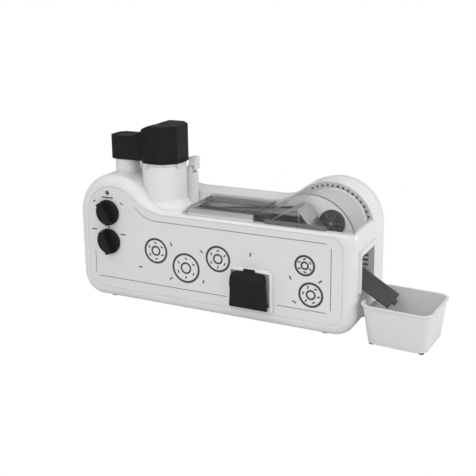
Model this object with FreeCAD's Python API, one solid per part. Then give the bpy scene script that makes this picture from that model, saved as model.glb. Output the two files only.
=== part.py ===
import FreeCAD, Part
import math
import os

# Counter-top donut maker. Millimetres. While the pieces are drawn, x runs from the left end of the body,
# y from the front panel towards the back and z up from the table. The finished set is then moved so that
# the origin is under its middle, on the table.
V = FreeCAD.Vector
UP = V(0, 0, 1)
BACK = V(0, 1, 0)
RIGHT = V(1, 0, 0)

# Body
body_length = 590.0
body_depth = 190.0
split_depth = 112.0
foot_height = 4.0
front_deck = 199.0
rear_deck = 217.5
hump_radius = 85.0
hump_height = 261.0
hump_foot = 205.0
arch_radius = 88.0
arch_height = 265.0
arch_blend = 100.0
shell_wall = 3.0
bottom_corner = 45.0
rear_corner = 27.0
sill_corner = 12.0
face_margin = 22.0
face_corner = 25.0
deck_margin = 6.0
front_round = 20.0
rear_round = 40.0
rear_margin = 9.0
round_steps = 4
fit_gap = 0.3
running_gap = 0.05

# Front panel, its grooves and controls
panel_thickness = 2.0
panel_land = 1.0
groove_width = 1.4
groove_depth = 0.8
groove_inset = 15.4
right_groove_inset = 23.4
swing_start = 163.0
swing_radius = 62.0
swing_degrees = 52.0
groove_end_gap = 7.0
left_groove_length = 47.0
low_groove_lift = 6.0
knob_x = 73.0
upper_knob_z = 184.5
lower_knob_z = 124.7
knob_radius = 26.0
knob_skirt = 6.0
knob_height = 20.0
grip_width = 13.0
upper_knob_turn = 28.0
lower_knob_turn = 20.0
switch_size = 36.0
switch_depth = 28.0
nose_radius = 5.0
shaft_radius = 3.0
lens_z = 224.6
lens_radius = 4.0
lens_proud = 1.5
lamp_radius = 6.0
lamp_length = 18.0

# Drain door, its surround and the drain
door_end = 200.5
door_width = 77.0
door_bottom = 39.0
door_height = 68.0
door_bulge = 6.5
door_flare = 6.0
door_sheet = 4.0
door_corner = 11.0
door_tab = 22.0
tab_height = 6.0
surround_width = 90.0
surround_top = 113.0
surround_proud = 8.0
surround_corner = 14.0
hinge_pin_radius = 2.0
hinge_pin_z = 44.0
hinge_pin_out = 5.5
drain_z = 66.0
drain_radius = 9.0
drain_bore = 6.0
cap_radius = 12.0
cap_length = 8.0

# Fry tank, heater and what stands round them
tank_left = 125.0
tank_end = 120.0
tank_front = 16.0
tank_rear = 88.0
tank_depth = 66.0
tank_wall = 1.5
tank_flange = 4.0
tank_drop = 0.5
well_left = 236.0
well_end = 10.0
well_front = 14.0
heater_radius = 3.5
heater_start = 20.0
heater_front_gap = 8.0
heater_rear_gap = 14.0
heater_end_gap = 50.0
bracket_sheet = 2.0
bracket_flange = 14.0
bracket_front_reach = 8.0
bracket_rear_reach = 20.0
bracket_left_gap = 55.0
bracket_right_gap = 18.0
sensor_radius = 9.0
rail_end = 59.0
rail_length = 120.0
rail_height = 7.0
rail_width = 3.0

# Clear covers
cover_left = 232.0
joint_end = 200.0
cover_height = 14.0
cover_front = 6.5
cover_wall = 2.0
cover_slope = 18.0
raised_left = 36.0
raised_right = 14.0
raised_front = 18.0
raised_rear = 14.0
raised_corner = 6.0
hood_left_height = 16.0
hood_step = 1.5

# Conveyor: wheel, belt, gears and motor
wheel_end = 77.0
wheel_z = 190.0
wheel_radius = 65.0
disc_thickness = 4.5
hub_radius = 25.0
hub_length = 9.5
drum_radius = 26.0
drum_width = 9.0
axle_radius = 5.0
bush_radius = 9.0
idler_x = 262.0
idler_z = 170.0
idler_radius = 18.0
idler_shaft_radius = 4.0
belt_thickness = 2.0
belt_width = 8.0
belt_gap = 0.4
belt_hole_radius = 2.4
belt_hole_pitch = 13.0
gear_module = 2.0
gear_teeth = 48
pinion_teeth = 12
gear_width = 10.0
gear_gap = 0.4
motor_radius = 24.0
motor_clearance = 11.0
motor_plate_gap = 5.0
motor_plate = 3.0
motor_plate_half = 44.0
motor_plate_drop = 30.0
motor_plate_rise = 12.0
motor_leg_radius = 4.0
motor_leg_inset = 8.0
motor_leg_rise_inset = 6.0

# Exit, slide and tray
exit_bottom = 92.0
exit_top = 156.0
frame_proud = 4.5
frame_width = 5.0
lintel_height = 9.0
slide_slope = 31.0
slide_width = 72.0
slide_side_gap = 3.5
slide_sheet = 2.5
slide_reach = 53.0
slide_tip_z = 66.5
slide_length = 101.0
ramp_sheet = 1.5
ramp_run = 54.0
ramp_left_z = 192.0
crest_end = 132.0
crest_length = 12.0
crest_z = 227.0
ramp_hole_pitch = 11.0
ramp_hole_radius = 3.0
tab_width = 20.0
tab_reach = 6.0
tray_length = 126.0
tray_width = 120.0
tray_height = 76.0
tray_taper = 9.0
tray_rear_taper = 3.0
tray_wall = 2.0
tray_corner = 18.0
tray_rim = 2.5
tray_foot = 3.0
tray_foot_radius = 5.0
tray_foot_inset = 9.0
tray_reach = 76.0
tray_y = 54.0
tray_turn = -3.7
notch_depth = 17.0

# Dispenser
hopper_x = 169.0
dispenser_y = 64.0
socket_radius = 44.5
socket_top = 281.0
socket_wall = 3.5
skirt_reach = 12.0
skirt_height = 17.0
skirt_sink = 1.0
hopper_wall = 2.0
hopper_rim = 5.0
nozzle_radius = 12.0
post_x = 82.5
post_radius = 24.5
post_wall = 3.0
post_drop = 0.3
head_height = 74.0
head_half = 43.0
head_chamfer = 21.0
low_height = 48.0
low_half = 26.0
low_left = 54.5
low_corner = 16.0
head_wall = 2.5
flange_height = 4.0
beam_lift = 29.4
beam_half_height = 3.0
beam_width = 12.0
rod_radius = 4.0
rod_gap = 0.6
cam_z = 212.0
cam_radius = 14.0
cam_offset = 6.0
lift_clearance = 10.0
cam_motor_radius = 20.0
column_gap = -2.0
column_y = 99.0
column_width = 19.0
column_top = 260.0
ear_thickness = 3.0
ear_height = 12.0
clip_height = 31.0
clip_pin_radius = 1.5

# Chassis and small fixings
chassis_thickness = 2.0
chassis_side = 50.0
foot_side = 64.0
foot_radius = 10.0
screw_radius = 1.6
screw_head = 3.4
screw_side = 104.0
screw_front_gap = 22.0
screw_rear_gap = 26.0
inlet_radius = 7.0
inlet_z = 45.0
inlet_x = 60.0
vent_rows = 6
vent_bottom = 70.0
vent_pitch = 12.0
vent_height = 4.0
vent_length = 60.0
vent_left = 150.0
vent_middle_end = 210.0
vent_right_end = 130.0

# Places that follow from the sizes above
hump_z = hump_height - hump_radius
arch_x = body_length - arch_radius
arch_z = arch_height - arch_radius
arch_foot = arch_x - math.sqrt((arch_radius + arch_blend) ** 2 - (rear_deck + arch_blend - arch_z) ** 2)
door_x = body_length - door_end
tank_right = body_length - tank_end
well_right = body_length - well_end
rail_left = body_length - rail_end - rail_length
cover_joint = body_length - joint_end
wheel_x = body_length - wheel_end
slide_tip_x = body_length + slide_reach
crest_left = body_length - crest_end
ramp_left = crest_left - ramp_run
tray_x = body_length + tray_reach
inner_front = panel_thickness + shell_wall
deck_under = front_deck - shell_wall
floor_top = foot_height + shell_wall
divider_rear = split_depth + shell_wall
wheel_rear = split_depth - 4.0
drum_front = wheel_rear - drum_width
disc_front = drum_front - disc_thickness
hub_front = disc_front - hub_length
gear_front = divider_rear + 7.0
pinion_z = wheel_z - gear_module * (gear_teeth + pinion_teeth) / 2 - gear_gap
beam_x = (post_x + hopper_x) / 2
beam_arm = hopper_x - beam_x
tank_top = deck_under - tank_drop
tank_floor = tank_top - tank_depth
exit_front = front_round + frame_width
head_bottom = socket_top + hopper_rim + 2 * fit_gap
post_top = head_bottom - post_drop
beam_z = head_bottom + beam_lift
column_x = hopper_x + socket_radius + column_gap
head_top = head_bottom + head_height
low_top = head_bottom + low_height

pieces = {}


def box(x0, x1, y0, y1, z0, z1):
    return Part.makeBox(x1 - x0, y1 - y0, z1 - z0, V(x0, y0, z0))


def rod_x(x0, x1, y, z, radius):
    return Part.makeCylinder(radius, x1 - x0, V(x0, y, z), RIGHT)


def rod_y(x, y0, y1, z, radius):
    return Part.makeCylinder(radius, y1 - y0, V(x, y0, z), BACK)


def rod_z(x, y, z0, z1, radius):
    return Part.makeCylinder(radius, z1 - z0, V(x, y, z0), UP)


def side_prism(points, y0, y1):
    """A straight-sided outline in x and z, carried from y0 to y1."""
    corners = [V(x, y0, z) for x, z in points]
    return Part.Face(Part.makePolygon(corners + corners[:1])).extrude(V(0, y1 - y0, 0))


def rounded_plan(x0, x1, y0, y1, radius, z):
    """A rectangle in plan with round corners, at the height z."""
    return round_corners([V(x0, y0, z), V(x1, y0, z), V(x1, y1, z), V(x0, y1, z)], [radius] * 4)


def round_corners(corners, radii):
    """Lines between the corners, with an arc of the given radius at each."""
    edges = []
    count = len(corners)
    starts = []
    ends = []
    for index, corner in enumerate(corners):
        to_last = (corners[index - 1] - corner).normalize()
        to_next = (corners[(index + 1) % count] - corner).normalize()
        half = to_last.getAngle(to_next) / 2
        cut = radii[index] / math.tan(half)
        middle = (to_last + to_next).normalize()
        starts.append(corner + to_last * cut)
        ends.append(corner + to_next * cut)
        heart = corner + middle * (radii[index] / math.sin(half))
        edges.append(Part.Arc(starts[-1], heart - middle * radii[index], ends[-1]).toShape())
    lines = []
    for index in range(count):
        lines.append(edges[index])
        lines.append(Part.makeLine(ends[index], starts[(index + 1) % count]))
    return Part.Wire(lines)


def hill_foot(centre_x, centre_z, radius, foot_x, deck):
    """Where a round hill meets the hollow curve that runs out flat on the deck: touch, middle and foot."""
    run = foot_x - centre_x
    rise = deck - centre_z
    bend = (run ** 2 + rise ** 2 - radius ** 2) / (2 * (radius - rise))
    reach = radius + bend
    touch = (centre_x + radius * run / reach, centre_z + radius * (rise + bend) / reach)
    heart = (foot_x, deck + bend)
    lean_x = (touch[0] - heart[0]) / bend
    lean_z = (touch[1] - heart[1]) / bend - 1
    size = math.hypot(lean_x, lean_z)
    middle = (heart[0] + bend * lean_x / size, heart[1] + bend * lean_z / size)
    return touch, middle, (foot_x, deck)


def body_outline(y, deck, side_inset, top_inset, arched):
    """The body's side view, drawn in from its outer edge by the two insets."""
    fade = side_inset / face_margin
    left = side_inset
    right = body_length - side_inset
    bottom = foot_height + side_inset
    top = deck - top_inset
    outer_low = rear_corner if arched else bottom_corner
    low = outer_low - side_inset * (outer_low - face_corner) / face_margin
    sill = sill_corner + (face_corner - sill_corner) * fade
    diagonal = math.sqrt(0.5)
    hump = hump_radius - side_inset
    touch, middle, foot = hill_foot(hump_radius, hump_z, hump, hump_foot, top)

    def at(point):
        return V(point[0], y, point[1])

    def arc(a, b, c):
        return Part.Arc(at(a), at(b), at(c)).toShape()

    def line(a, b):
        return Part.makeLine(at(a), at(b))

    corner = low * (1 - diagonal)
    edges = [line((left + low, bottom), (right - low, bottom))]
    edges.append(arc((right - low, bottom), (right - corner, bottom + corner), (right, bottom + low)))
    if arched:
        arch = arch_radius - side_inset
        rise, bend, far_foot = hill_foot(arch_x, arch_z, arch, arch_foot, top)
        crown = (arch_x + arch * math.cos(math.radians(75)), arch_z + arch * math.sin(math.radians(75)))
        edges.append(line((right, bottom + low), (right, arch_z)))
        edges.append(arc((right, arch_z), crown, rise))
        edges.append(arc(rise, bend, far_foot))
        edges.append(line(far_foot, foot))
    else:
        edge = sill * (1 - diagonal)
        edges.append(line((right, bottom + low), (right, top - sill)))
        edges.append(arc((right, top - sill), (right - edge, top - edge), (right - sill, top)))
        edges.append(line((right - sill, top), foot))
    crest = (hump_radius + hump * math.cos(math.radians(110)), hump_z + hump * math.sin(math.radians(110)))
    edges.append(arc(foot, middle, touch))
    edges.append(arc(touch, crest, (left, hump_z)))
    edges.append(line((left, hump_z), (left, bottom + low)))
    edges.append(arc((left, bottom + low), (left + corner, bottom + corner), (left + low, bottom)))
    return Part.Wire(edges)


def rounded_body(deck, arched, face_y, round_y, end_y, side_margin, top_margin, skin):
    """The body from its flat face, over the rounded edge, to the split. A skin draws it in all round."""
    rings = []
    for step in range(round_steps + 1):
        turn = math.radians(90.0 * step / round_steps)
        y = face_y + (round_y - face_y) * (1 - math.cos(turn))
        fade = 1 - math.sin(turn)
        rings.append(body_outline(y, deck, skin + side_margin * fade, skin + top_margin * fade, arched))
    nose = Part.makeLoft(rings, True, False)
    trunk = Part.Face(rings[-1]).extrude(V(0, end_y - round_y, 0))
    return nose.fuse(trunk)


def plate_outline(y, inset_extra):
    """The flat front face's edge, drawn in a little further."""
    return body_outline(y, front_deck, face_margin + inset_extra, deck_margin + inset_extra, False)


# Front shell
front_solid = rounded_body(front_deck, False, 0.0, front_round, split_depth, face_margin, deck_margin, 0.0)
front_hollow = rounded_body(
    front_deck, False, inner_front, front_round, split_depth, face_margin, deck_margin, shell_wall)
front_shell = front_solid.cut(front_hollow)
panel_pocket = Part.Face(plate_outline(0.0, panel_land)).extrude(V(0, panel_thickness, 0))
front_shell = front_shell.cut(panel_pocket)
well = box(well_left, well_right, well_front, split_depth, deck_under - 1, front_deck + 1)
exit_hole = box(body_length - 2 * shell_wall, body_length + 1, exit_front, split_depth + 1, exit_bottom,
                exit_top)
socket_hole = rod_z(hopper_x, dispenser_y, deck_under - 1, hump_height, socket_radius + fit_gap)
lift_hole = rod_z(post_x, dispenser_y, hump_z, hump_height, rod_radius + 2)
front_cuts = [well, exit_hole, socket_hole, lift_hole]
panel_cuts = []
for knob_z in (upper_knob_z, lower_knob_z):
    panel_cuts.append(rod_y(knob_x, -1, inner_front + 1, knob_z, nose_radius + fit_gap))
panel_cuts.append(rod_y(knob_x, -1, inner_front + 1, lens_z, lens_radius + fit_gap))
panel_cuts.append(rod_y(door_x, -1, inner_front + 1, drain_z, drain_radius + fit_gap))
screw_places = []
for screw_x in (screw_side, body_length / 2, body_length - screw_side):
    for screw_y in (front_round + screw_front_gap, body_depth - rear_round - screw_rear_gap):
        screw_places.append((screw_x, screw_y))
foot_places = []
for foot_x in (foot_side, body_length - foot_side):
    for foot_y in (front_round + foot_radius, body_depth - rear_round - foot_radius):
        foot_places.append((foot_x, foot_y))


def screw_holes(front_half):
    cuts = []
    for x, y in screw_places:
        if (y < split_depth) == front_half:
            cuts.append(rod_z(x, y, foot_height - 1, floor_top + 1, screw_radius + fit_gap))
            cuts.append(rod_z(x, y, foot_height - 1, foot_height + 1.6, screw_head + fit_gap))
    return cuts


pieces["front_shell"] = front_shell.cut(front_cuts + panel_cuts + screw_holes(True))

# Front panel with its grooves
panel = Part.Face(plate_outline(0.0, panel_land + fit_gap)).extrude(V(0, panel_thickness, 0))
panel_left = face_margin
panel_right = body_length - face_margin
panel_bottom = foot_height + face_margin
panel_top = front_deck - deck_margin
top_groove_z = panel_top - groove_inset
bottom_groove_z = panel_bottom + groove_inset + low_groove_lift
right_groove_x = panel_right - right_groove_inset
left_groove_x = panel_left + groove_inset
swing_x = panel_left + swing_start
side_groove_z = bottom_groove_z + groove_end_gap
groove_right = right_groove_x - groove_end_gap
left_of_door = door_x - surround_width / 2 - groove_end_gap
right_of_door = door_x + surround_width / 2 + groove_end_gap


def level_groove(left, right, z):
    return box(left, right, -1, groove_depth, z, z + groove_width)


def upright_groove(x, bottom, top):
    return box(x, x + groove_width, -1, groove_depth, bottom, top)


grooves = [
    level_groove(swing_x, groove_right, top_groove_z),
    level_groove(left_groove_x + groove_end_gap, left_of_door, bottom_groove_z),
    level_groove(right_of_door, groove_right, bottom_groove_z),
    upright_groove(left_groove_x, side_groove_z, side_groove_z + left_groove_length),
    upright_groove(right_groove_x, side_groove_z, top_groove_z - groove_end_gap)]


def swing_arc(radius, start, end):
    """Part of a circle that hangs over the swing's low end, by degrees from straight down."""
    spots = []
    for degrees in (start, (start + end) / 2, end):
        angle = math.radians(degrees - 90)
        spots.append(V(swing_x + radius * math.cos(angle), -1,
                       top_groove_z + swing_radius + radius * math.sin(angle)))
    return Part.Arc(*spots).toShape()


outer_swing = swing_arc(swing_radius, 0, -swing_degrees)
inner_swing = swing_arc(swing_radius - groove_width, -swing_degrees, 0)
swing_ends = [Part.makeLine(outer_swing.valueAt(outer_swing.LastParameter),
                            inner_swing.valueAt(inner_swing.FirstParameter)),
              Part.makeLine(inner_swing.valueAt(inner_swing.LastParameter),
                            outer_swing.valueAt(outer_swing.FirstParameter))]
swing_loop = Part.Wire([outer_swing, swing_ends[0], inner_swing, swing_ends[1]])
grooves.append(Part.Face(swing_loop).extrude(V(0, 1 + groove_depth, 0)))
pieces["front_panel"] = panel.cut(grooves + panel_cuts)

# Rear shell with the arched hump, its vents and the cord inlet's hole
rear_solid = rounded_body(
    rear_deck, True, body_depth, body_depth - rear_round, split_depth, rear_margin, rear_margin, 0.0)
rear_hollow = rounded_body(
    rear_deck, True, body_depth - shell_wall, body_depth - rear_round, split_depth, rear_margin, rear_margin,
    shell_wall)
rear_shell = rear_solid.cut(rear_hollow)
rear_cuts = [rod_y(inlet_x, body_depth - 2 * shell_wall, body_depth + 1, inlet_z, inlet_radius + fit_gap)]
for row in range(vent_rows):
    vent_z = vent_bottom + vent_pitch * row
    for vent_x in (vent_left, body_length - vent_middle_end, body_length - vent_right_end):
        rear_cuts.append(box(vent_x, vent_x + vent_length, body_depth - 2 * shell_wall, body_depth + 1,
                             vent_z, vent_z + vent_height))
pieces["rear_shell"] = rear_shell.cut(rear_cuts + screw_holes(False))

# Divider wall between the fry lane and the machinery
divider = Part.Face(body_outline(
    split_depth, rear_deck, shell_wall + fit_gap, shell_wall + fit_gap, True)).extrude(V(0, shell_wall, 0))
divider_cuts = [rod_y(wheel_x, split_depth - 1, divider_rear + 1, wheel_z, bush_radius + running_gap),
                rod_y(idler_x, split_depth - 1, divider_rear + 1, idler_z, idler_shaft_radius + running_gap)]
slot_radius = arch_radius - 11
for index in range(15):
    angle = 12 + 7.5 * index
    slot = box(slot_radius, slot_radius + 5, split_depth - 1, divider_rear + 1, -2.2, 2.2)
    slot.rotate(V(0, 0, 0), BACK, -angle)
    slot.translate(V(arch_x, 0, arch_z))
    divider_cuts.append(slot)
for index in range(4):
    slot_z = exit_bottom + 17 + 9 * index
    slot_x = body_length - 34
    divider_cuts.append(box(slot_x, slot_x + 22, split_depth - 1, divider_rear + 1, slot_z, slot_z + 3.5))
pieces["divider_wall"] = divider.cut(divider_cuts)

# Chassis plate, screws and feet
chassis = box(chassis_side, body_length - chassis_side, front_round + 6, body_depth - rear_round - 6,
              floor_top, floor_top + chassis_thickness)
lane_slit = box(chassis_side - 1, body_length - chassis_side + 1, split_depth - fit_gap,
                divider_rear + fit_gap,
                floor_top - 1, floor_top + chassis_thickness + 1)
chassis = chassis.cut(lane_slit)
chassis_holes = [rod_z(x, y, floor_top - 1, floor_top + chassis_thickness + 1, screw_radius + running_gap)
                 for x, y in screw_places]
pieces["chassis_plate"] = chassis.cut(chassis_holes)
screws = []
for x, y in screw_places:
    head = rod_z(x, y, foot_height + 0.2, foot_height + 1.6, screw_head)
    screws.append(head.fuse(rod_z(x, y, foot_height + 1.6, floor_top + chassis_thickness + 2, screw_radius)))
pieces["chassis_screws"] = Part.Compound(screws)
feet = [Part.makeCone(foot_radius - 1.5, foot_radius, foot_height, V(x, y, 0), UP) for x, y in foot_places]
pieces["feet"] = Part.Compound(feet)

# Knobs with their shafts, and the switches behind the panel
knob_gap = 0.8


def make_knob(z, turn):
    skirt = rod_y(knob_x, -knob_gap - knob_skirt, -knob_gap, z, knob_radius)
    face = [f for f in skirt.Faces if abs(f.CenterOfMass.y + knob_gap + knob_skirt) < 0.01]
    skirt = skirt.makeFillet(knob_skirt / 3, face[0].Edges)
    reach = knob_radius - 2
    grip = box(knob_x - grip_width / 2, knob_x + grip_width / 2, -knob_height, -knob_gap - knob_skirt,
               z - knob_radius, z + knob_radius)
    grip = grip.common(rod_y(knob_x, -knob_height, -knob_gap - knob_skirt, z, reach))
    top = [f for f in grip.Faces if abs(f.CenterOfMass.y + knob_height) < 0.01]
    grip = grip.makeFillet(grip_width / 5, top[0].Edges)
    knob = skirt.fuse(grip)
    knob = knob.cut(rod_y(knob_x, -knob_height + 4, 1, z, shaft_radius + running_gap))
    knob.rotate(V(knob_x, 0, z), BACK, -turn)
    return knob


def make_switch(z):
    half = switch_size / 2
    body = box(knob_x - half, knob_x + half, inner_front, inner_front + switch_depth, z - half, z + half)
    body = body.fuse(rod_y(knob_x, -knob_gap / 2, inner_front, z, nose_radius))
    return body.cut(rod_y(knob_x, -1, inner_front + switch_depth / 2, z, shaft_radius + running_gap))


def make_shaft(z):
    return rod_y(knob_x, -knob_height + 4 + fit_gap, inner_front + switch_depth / 2 - fit_gap, z,
                 shaft_radius)


pieces["upper_knob"] = make_knob(upper_knob_z, upper_knob_turn)
pieces["lower_knob"] = make_knob(lower_knob_z, lower_knob_turn)
pieces["upper_shaft"] = make_shaft(upper_knob_z)
pieces["lower_shaft"] = make_shaft(lower_knob_z)
pieces["power_switch"] = make_switch(upper_knob_z)
pieces["timer_switch"] = make_switch(lower_knob_z)

# Indicator light
lens = rod_y(knob_x, -lens_proud, inner_front, lens_z, lens_radius)
lens_face = [f for f in lens.Faces if abs(f.CenterOfMass.y + lens_proud) < 0.01]
pieces["indicator_lens"] = lens.makeFillet(lens_proud / 2, lens_face[0].Edges)
pieces["indicator_lamp"] = rod_y(knob_x, inner_front, inner_front + lamp_length, lens_z, lamp_radius)

# Drain door, its surround and hinge pin
surround_bottom = panel_bottom + panel_land + 3
surround_half = surround_width / 2
cheek = 5.6
surround = round_corners(
    [V(door_x - surround_half, 0, surround_bottom), V(door_x + surround_half, 0, surround_bottom),
     V(door_x + surround_half, 0, surround_top), V(door_x - surround_half, 0, surround_top)],
    [surround_corner / 2, surround_corner / 2, surround_corner, surround_corner])
surround = Part.Face(surround).extrude(V(0, -surround_proud, 0))
surround_face = [f for f in surround.Faces if abs(f.CenterOfMass.y + surround_proud) < 0.01]
surround = surround.makeFillet(surround_proud * 0.6, surround_face[0].Edges)
surround = surround.cut(box(door_x - surround_half + cheek, door_x + surround_half - cheek,
                            -surround_proud - 1, 1,
                            surround_bottom - 1, surround_top - cheek))
pin_half = surround_half - cheek / 2
pin_hole = rod_x(door_x - pin_half - fit_gap, door_x + pin_half + fit_gap, -hinge_pin_out, hinge_pin_z,
                 hinge_pin_radius + running_gap)
pieces["door_surround"] = surround.cut(pin_hole)
pieces["door_pin"] = rod_x(door_x - pin_half, door_x + pin_half, -hinge_pin_out, hinge_pin_z,
                           hinge_pin_radius)

door_top = door_bottom + door_height
door_back = -surround_proud - 0.6
side_arcs = [
    ((door_back, door_top), (door_back - door_bulge, door_top - 0.18 * door_height),
     (door_back - door_bulge * 0.75, door_top - 0.48 * door_height)),
    ((door_back - door_bulge * 0.75, door_top - 0.48 * door_height),
     (door_back - door_bulge * 0.8, door_top - 0.72 * door_height),
     (door_back - door_flare, door_bottom))]


def door_side(out):
    """The door's curved side view, one skin in front of the other by the sheet's thickness."""
    arcs = []
    for points in side_arcs:
        arcs.append(Part.Arc(*[V(0, y - out, z) for y, z in points]).toShape())
    return arcs


back_skin = door_side(0.0)
front_skin = door_side(door_sheet)
ends = [Part.makeLine(V(0, door_back, door_top), V(0, door_back - door_sheet, door_top)),
        Part.makeLine(V(0, door_back - door_flare, door_bottom),
                      V(0, door_back - door_flare - door_sheet, door_bottom))]
sheet_wire = Part.Wire(Part.__sortEdges__(back_skin + front_skin + ends))
door_sheet_solid = Part.Face(sheet_wire).extrude(V(door_width + 20, 0, 0))
door_sheet_solid.translate(V(door_x - door_width / 2 - 10, 0, 0))
door_half = door_width / 2
waist = door_half - 1.2
shoulder = door_half - 2
door_mid = door_bottom + door_height / 2
bend = door_corner * (1 - math.sqrt(0.5))
door_span = 4 * (door_bulge + door_flare + door_sheet)


def door_point(x, z):
    return V(door_x + x, -door_span, z)


door_edges = [Part.makeLine(door_point(-door_half, door_bottom), door_point(door_half, door_bottom))]
for side in (1, -1):
    door_edges.append(Part.Arc(
        door_point(side * door_half, door_bottom), door_point(side * waist, door_mid),
        door_point(side * shoulder, door_top - door_corner)).toShape())
    door_edges.append(Part.Arc(
        door_point(side * shoulder, door_top - door_corner), door_point(side * (shoulder - bend),
                door_top - bend),
        door_point(side * (shoulder - door_corner), door_top)).toShape())
door_edges.append(Part.makeLine(
    door_point(shoulder - door_corner, door_top), door_point(door_corner - shoulder, door_top)))
door_plan = Part.Face(Part.Wire(Part.__sortEdges__(door_edges))).extrude(V(0, door_span, 0))
door = door_sheet_solid.common(door_plan)
door = door.fuse(box(door_x - door_tab / 2, door_x + door_tab / 2, door_back - door_sheet, door_back,
                     door_top - 1, door_top + tab_height))
for side in (-1, 1):
    lug_x = door_x + side * (surround_half - cheek - 9)
    lug = box(lug_x - 4, lug_x + 4, door_back - door_flare - door_sheet / 2, -hinge_pin_out,
              hinge_pin_z - 2 * hinge_pin_radius, hinge_pin_z + 2 * hinge_pin_radius)
    lug = lug.fuse(rod_x(lug_x - 4, lug_x + 4, -hinge_pin_out, hinge_pin_z, 2 * hinge_pin_radius))
    door = door.fuse(lug)
pieces["drain_door"] = door.cut(rod_x(
    door_x - pin_half, door_x + pin_half, -hinge_pin_out, hinge_pin_z, hinge_pin_radius + running_gap))

# Drain pipe and cap
drain_y = (tank_front + tank_rear) / 2 - 12
pipe = rod_y(door_x, -0.5, drain_y, drain_z, drain_radius).fuse(
    rod_z(door_x, drain_y, drain_z - drain_radius, tank_floor, drain_radius))
pipe = pipe.cut([rod_y(door_x, -1, drain_y, drain_z, drain_bore),
                 rod_z(door_x, drain_y, drain_z - drain_bore, tank_floor + 1, drain_bore)])
pieces["drain_pipe"] = pipe
cap_back = -0.5 - fit_gap
cap = rod_y(door_x, cap_back - cap_length, cap_back, drain_z, cap_radius)
cap = cap.fuse(rod_y(door_x, cap_back, cap_back + 6, drain_z, drain_bore - fit_gap))
for index in range(12):
    notch = rod_y(door_x + cap_radius + 0.6, cap_back - cap_length - 1, cap_back + 1, drain_z, 1.6)
    notch.rotate(V(door_x, 0, drain_z), BACK, 30 * index)
    cap = cap.cut(notch)
pieces["drain_cap"] = cap

# Fry tank, brackets, heater and heat sensor
tank_bend = 10.0
tank = Part.Face(rounded_plan(tank_left, tank_right, tank_front, tank_rear, tank_bend, tank_floor)).extrude(
    V(0, 0, tank_depth))
flange = Part.Face(rounded_plan(
    tank_left - tank_flange, tank_right + tank_flange, tank_front, tank_rear + tank_flange,
    tank_bend, tank_top - tank_wall)).extrude(V(0, 0, tank_wall))
basin = Part.Face(rounded_plan(
    tank_left + tank_wall, tank_right - tank_wall, tank_front + tank_wall, tank_rear - tank_wall,
    tank_bend - tank_wall, tank_floor + tank_wall)).extrude(V(0, 0, tank_depth))
tank = tank.fuse(flange).cut(basin)
pieces["fry_tank"] = tank.cut(rod_z(door_x, drain_y, tank_floor - 1, tank_floor + tank_wall + 1, drain_bore))
brackets = []
chassis_top = floor_top + chassis_thickness
bracket_front = drain_y - bracket_front_reach
bracket_rear = drain_y + bracket_rear_reach
for bracket_x in (tank_left + bracket_left_gap, tank_right - bracket_right_gap):
    post = box(bracket_x, bracket_x + bracket_sheet, bracket_front, bracket_rear, chassis_top, tank_floor)
    for flange_z in (chassis_top, tank_floor - bracket_sheet):
        post = post.fuse(box(bracket_x, bracket_x + bracket_flange, bracket_front, bracket_rear,
                             flange_z, flange_z + bracket_sheet))
    brackets.append(post)
pieces["tank_brackets"] = Part.Compound(brackets)
heater_z = tank_floor - heater_radius - 0.1
heater_front = tank_front + heater_front_gap
heater_rear = tank_rear - heater_rear_gap
heater_left = tank_left + heater_start
heater_right = tank_right - heater_end_gap
heater_mid = (heater_front + heater_rear) / 2
heater_bend = (heater_rear - heater_front) / 2
heater_path = Part.Wire([
    Part.makeLine(V(heater_left, heater_front, heater_z), V(heater_right, heater_front, heater_z)),
    Part.Arc(V(heater_right, heater_front, heater_z), V(heater_right + heater_bend, heater_mid, heater_z),
             V(heater_right, heater_rear, heater_z)).toShape(),
    Part.makeLine(V(heater_right, heater_rear, heater_z), V(heater_left, heater_rear, heater_z))])
heater_ring = Part.Wire(Part.makeCircle(heater_radius, V(heater_left, heater_front, heater_z), RIGHT))
pieces["heating_element"] = heater_path.makePipeShell([heater_ring], True, False)
sensor_x = (tank_left + tank_right) / 2
pieces["heat_sensor"] = rod_z(sensor_x, heater_mid, tank_floor - 8, tank_floor, sensor_radius)
rail_front = well_front - rail_width - 0.5
pieces["splash_rail"] = box(rail_left, rail_left + rail_length, rail_front, rail_front + rail_width,
                            front_deck, front_deck + rail_height)

# Clear fry cover
seat = front_deck + fit_gap
cover_rear = split_depth - 0.5
cover_right = cover_joint - 0.5
lean = 4.0


def cover_plan(inset, rise, right):
    """The cover's outline at its foot, or at its top where the walls have leaned in."""
    left = cover_left + cover_slope * rise + inset
    front = cover_front + lean * rise + inset
    height = seat + (cover_height - inset) * rise
    corners = [V(left, front, height), V(right, front, height), V(right, cover_rear - inset, height),
               V(left, cover_rear - inset, height)]
    return round_corners(corners, [cover_slope - 6 * rise - inset, 0.5, 0.5, 4.0 - inset])


cover = Part.makeLoft([cover_plan(0.0, 0, cover_right), cover_plan(0.0, 1, cover_right)], True, True)
cover_top = seat + cover_height


def raised_plan(inset, z):
    """The outline of the cover's raised middle."""
    return rounded_plan(cover_left + raised_left + inset, cover_right - raised_right - inset,
                        cover_front + raised_front + inset, cover_rear - raised_rear - inset,
                        raised_corner - inset / 2, z)


raised = Part.makeLoft([raised_plan(0.0, cover_top), raised_plan(cover_wall, cover_top + cover_wall)],
                       True, True)
cover = cover.fuse(raised)
pieces["fry_cover"] = cover.cut(Part.makeLoft(
    [cover_plan(cover_wall, 0, cover_right + 1), cover_plan(cover_wall, 1, cover_right + 1)], True, True))

# Clear wheel hood
hood_radius = arch_radius - hood_step
hood_foot = cover_joint + 12


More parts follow.
